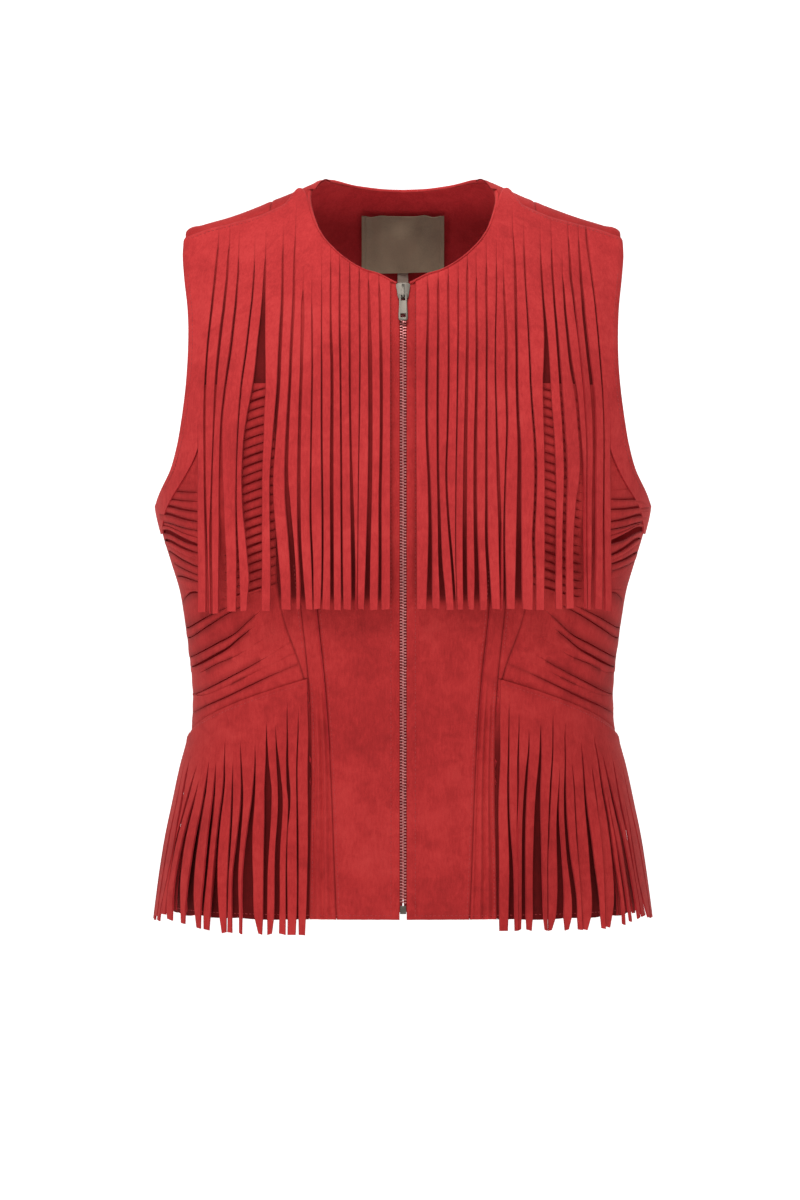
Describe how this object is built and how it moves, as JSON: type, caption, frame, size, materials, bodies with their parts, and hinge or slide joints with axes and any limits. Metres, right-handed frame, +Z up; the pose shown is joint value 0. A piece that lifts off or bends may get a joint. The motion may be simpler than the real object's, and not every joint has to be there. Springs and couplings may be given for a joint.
{
  "type": "fringed suede zip vest",
  "caption": "Hollow, filled-out sleeveless zip vest of suede with a fringed yoke over the chest, slashed side panels and a fringed peplum over each hip.",
  "frame": {"origin": "midway between the two high points of the shoulders, beside the neck, where the wearer's shoulders hold the vest up", "axes": "+Z up, -Y out of the zipped front, +X towards the viewer's right when looking at the front"},
  "size_m": [0.3992, 0.2206, 0.5953],
  "materials": {
    "suede": "napped red suede, matt",
    "zip_metal": "pale metal, lightly polished",
    "zip_tape": "woven tape",
    "label": "smooth tan leather, bare",
    "size_tab": "woven tab, bare"
  },
  "bodies": {
    "vest": {"front_centre_R": "suede", "front_centre_L": "suede", "front_strip_R": "suede", "front_strip_L": "suede", "front_bust_R": "suede", "front_bust_L": "suede", "side_front_R": "suede", "side_front_L": "suede", "hip_under_R": "suede", "hip_under_L": "suede", "back_centre": "suede", "back_side_R": "suede", "back_side_L": "suede", "chest_overlay_R": "suede", "chest_overlay_L": "suede", "hip_fringe_R": "suede", "hip_fringe_L": "suede", "zip_tape_R": "zip_tape", "zip_tape_L": "zip_tape", "zip_teeth_R": "zip_metal", "zip_teeth_L": "zip_metal", "zip_slider": "zip_metal", "zip_bottom_stop": "zip_metal", "label": "label", "size_tab": "size_tab"},
    "pull": {"zip_pull": "zip_metal"}
  },
  "joints": [
    {"name": "pull_swing", "type": "hinge", "parent": "vest", "child": "pull", "pos_m": [0, -0.09531, -0.09138], "axis": [-1, 0, 0], "range_deg": [0, 150]}
  ]
}
